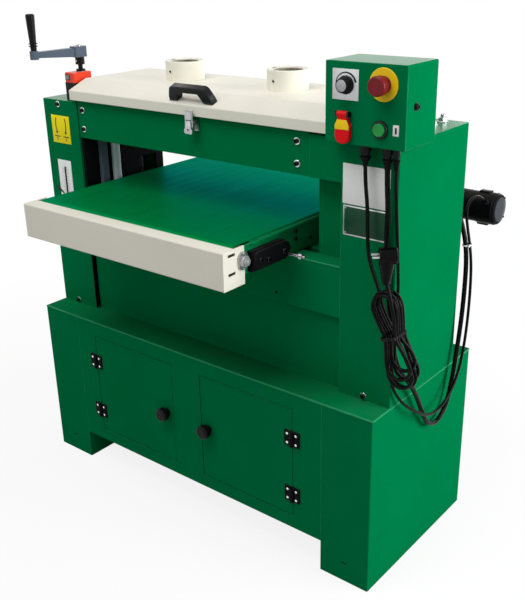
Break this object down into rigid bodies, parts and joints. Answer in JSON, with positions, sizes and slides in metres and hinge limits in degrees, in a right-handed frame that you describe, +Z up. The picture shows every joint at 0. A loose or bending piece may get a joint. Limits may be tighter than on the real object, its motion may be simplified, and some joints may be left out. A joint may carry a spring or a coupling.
{
  "type": "drum sander",
  "caption": "Floor-standing thicknessing drum sander: twin drums under a hinged dust cover, powered conveyor table lifted by a crank, cabinet base with doors and a control box.",
  "frame": {"origin": "on the floor, at the centre of the four anchor holes in the foot plates, midway across the cabinet", "axes": "+X to the operator's right, -Y the front where work is fed in, +Z up"},
  "size_m": [1.1815, 0.754, 1.2553],
  "materials": {
    "green_paint": "smooth semi-gloss dark green paint",
    "cream_paint": "fine-textured cream paint",
    "black_paint": "satin black paint",
    "grey_paint": "grey-blue paint",
    "bright_steel": "bare machined steel",
    "drum_aluminium": "drum wrapped with abrasive",
    "black_plastic": "black moulded plastic",
    "black_rubber": "black cable jacket",
    "belt_green": "green feed belt with a slight sheen",
    "red_plastic": "red moulded plastic",
    "green_plastic": "green moulded plastic",
    "orange_plastic": "orange-red indicator on a black block"
  },
  "bodies": {
    "frame": {"left_leg": "green_paint", "right_leg": "green_paint", "base_front_panel": "green_paint", "base_back_panel": "green_paint", "base_top_plate": "green_paint", "left_column": "green_paint", "right_column": "green_paint", "left_side_plate": "black_paint", "right_side_plate": "green_paint", "front_beam": "green_paint", "lower_front_panel": "green_paint", "rear_panel": "green_paint", "head_front_panel": "green_paint", "head_rear_panel": "green_paint", "control_box": "green_paint", "control_panel": "green_paint", "guide_posts": "bright_steel", "panel_screws": "black_plastic", "main_motor": "grey_paint", "lift_chain": "bright_steel", "drive_belts": "black_rubber", "bearing_blocks": "black_paint", "position_indicator": "orange_plastic", "cable_glands": "black_plastic", "hinge_leaves": "black_paint", "latch_base": "bright_steel", "mains_lead": "black_rubber", "mains_hank": "black_rubber", "mains_plug": "black_plastic", "motor_lead": "black_rubber", "feed_lead": "black_rubber"},
    "cover": {"top_cover": "cream_paint", "dust_ports": "cream_paint", "cover_handle": "black_plastic", "cover_fittings": "bright_steel"},
    "table": {"table_frame": "green_paint", "front_bar": "cream_paint", "table_fittings": "bright_steel", "feed_motor": "black_paint", "feed_belt": "belt_green"},
    "latch_lever": {"latch_lever": "bright_steel"},
    "latch_bail": {"latch_bail": "bright_steel"},
    "left_door": {"left_door": "green_paint"},
    "right_door": {"right_door": "green_paint"},
    "left_door_knob": {"left_door_knob": "black_plastic"},
    "right_door_knob": {"right_door_knob": "black_plastic"},
    "front_roller": {"front_roller": "bright_steel"},
    "drive_roller": {"drive_roller": "bright_steel"},
    "front_drum": {"front_drum": "drum_aluminium"},
    "rear_drum": {"rear_drum": "drum_aluminium"},
    "motor_pulley": {"motor_pulley": "black_paint"},
    "crank": {"crank": "grey_paint"},
    "crank_grip": {"crank_grip": "black_plastic"},
    "front_right_screw": {"front_right_screw": "bright_steel"},
    "rear_left_screw": {"rear_left_screw": "bright_steel"},
    "rear_right_screw": {"rear_right_screw": "bright_steel"},
    "estop_button": {"estop_button": "red_plastic"},
    "start_button": {"start_button": "green_plastic"},
    "paddle_switch": {"paddle_switch": "red_plastic"},
    "speed_knob": {"speed_knob": "black_plastic"}
  },
  "joints": [
    {"name": "cover_hinge", "type": "hinge", "parent": "frame", "child": "cover", "pos_m": [0, 0.152, 1.036], "axis": [-1, 0, 0], "range_deg": [0, 100]},
    {"name": "latch_swing", "type": "hinge", "parent": "frame", "child": "latch_lever", "pos_m": [0.005, -0.166, 1.026], "axis": [-1, 0, 0], "range_deg": [0, 90]},
    {"name": "latch_bail_turn", "type": "hinge", "parent": "latch_lever", "child": "latch_bail", "pos_m": [0.005, -0.175, 1.017], "axis": [-1, 0, 0], "range_deg": [-95, 3]},
    {"name": "left_door_hinge", "type": "hinge", "parent": "frame", "child": "left_door", "pos_m": [-0.3465, -0.2325, 0.265], "axis": [0, 0, -1], "range_deg": [0, 110]},
    {"name": "right_door_hinge", "type": "hinge", "parent": "frame", "child": "right_door", "pos_m": [0.3355, -0.2325, 0.265], "axis": [0, 0, 1], "range_deg": [0, 110]},
    {"name": "left_knob_turn", "type": "hinge", "parent": "left_door", "child": "left_door_knob", "pos_m": [-0.0785, -0.2275, 0.265], "axis": [0, 1, 0], "range_deg": [0, 90]},
    {"name": "right_knob_turn", "type": "hinge", "parent": "right_door", "child": "right_door_knob", "pos_m": [0.0675, -0.2275, 0.265], "axis": [0, -1, 0], "range_deg": [0, 90]},
    {"name": "crank_turn", "type": "hinge", "parent": "frame", "child": "crank", "pos_m": [-0.449, -0.101, 1.105], "axis": [0, 0, 1], "range_deg": [-10, 7210]},
    {"name": "crank_grip_spin", "type": "hinge", "parent": "crank", "child": "crank_grip", "pos_m": [-0.46198, -0.23336, 1.167], "axis": [0, 0, 1], "continuous": true},
    {"name": "table_lift", "type": "slide", "parent": "frame", "child": "table", "axis": [0, 0, 1], "range_m": [0, 0.1], "deforming": ["feed_lead"]},
    {"name": "front_right_screw_turn", "type": "hinge", "parent": "frame", "child": "front_right_screw", "pos_m": [0.363, -0.05, 0.46], "axis": [0, 0, 1], "range_deg": [-10, 7210]},
    {"name": "rear_left_screw_turn", "type": "hinge", "parent": "frame", "child": "rear_left_screw", "pos_m": [-0.449, 0.08, 0.46], "axis": [0, 0, 1], "range_deg": [-10, 7210]},
    {"name": "rear_right_screw_turn", "type": "hinge", "parent": "frame", "child": "rear_right_screw", "pos_m": [0.363, 0.08, 0.46], "axis": [0, 0, 1], "range_deg": [-10, 7210]},
    {"name": "drive_roller_turn", "type": "hinge", "parent": "table", "child": "drive_roller", "pos_m": [-0.041, 0.32, 0.794], "axis": [1, 0, 0], "continuous": true},
    {"name": "front_roller_turn", "type": "hinge", "parent": "table", "child": "front_roller", "pos_m": [-0.041, -0.328, 0.794], "axis": [1, 0, 0], "continuous": true},
    {"name": "front_drum_turn", "type": "hinge", "parent": "frame", "child": "front_drum", "pos_m": [-0.041, -0.0855, 0.99], "axis": [1, 0, 0], "continuous": true},
    {"name": "rear_drum_turn", "type": "hinge", "parent": "frame", "child": "rear_drum", "pos_m": [-0.041, 0.0645, 0.99], "axis": [1, 0, 0], "continuous": true},
    {"name": "motor_pulley_turn", "type": "hinge", "parent": "frame", "child": "motor_pulley", "pos_m": [0.4, -0.0105, 0.25], "axis": [1, 0, 0], "continuous": true},
    {"name": "estop_push", "type": "slide", "parent": "frame", "child": "estop_button", "axis": [0, 1, 0], "range_m": [0, 0.006]},
    {"name": "start_push", "type": "slide", "parent": "frame", "child": "start_button", "axis": [0, 1, 0], "range_m": [0, 0.004], "stiffness_N_per_m": 900, "springref_m": -0.001},
    {"name": "paddle_flip", "type": "hinge", "parent": "frame", "child": "paddle_switch", "pos_m": [0.446, -0.204, 1.093], "axis": [-1, 0, 0], "range_deg": [0, 60]},
    {"name": "speed_turn", "type": "hinge", "parent": "frame", "child": "speed_knob", "pos_m": [0.448, -0.197, 1.148], "axis": [0, -1, 0], "range_deg": [-150, 150]}
  ],
  "couplings": [
    {"joint": "latch_bail_turn", "follows": "latch_swing", "ratio": -1},
    {"joint": "crank_turn", "follows": "table_lift", "rad_per_m": 1256.6},
    {"joint": "front_right_screw_turn", "follows": "table_lift", "rad_per_m": 1256.6},
    {"joint": "rear_left_screw_turn", "follows": "table_lift", "rad_per_m": 1256.6},
    {"joint": "rear_right_screw_turn", "follows": "table_lift", "rad_per_m": 1256.6},
    {"joint": "front_roller_turn", "follows": "drive_roller_turn", "ratio": 1},
    {"joint": "rear_drum_turn", "follows": "front_drum_turn", "ratio": 1},
    {"joint": "motor_pulley_turn", "follows": "front_drum_turn", "ratio": 0.56}
  ]
}
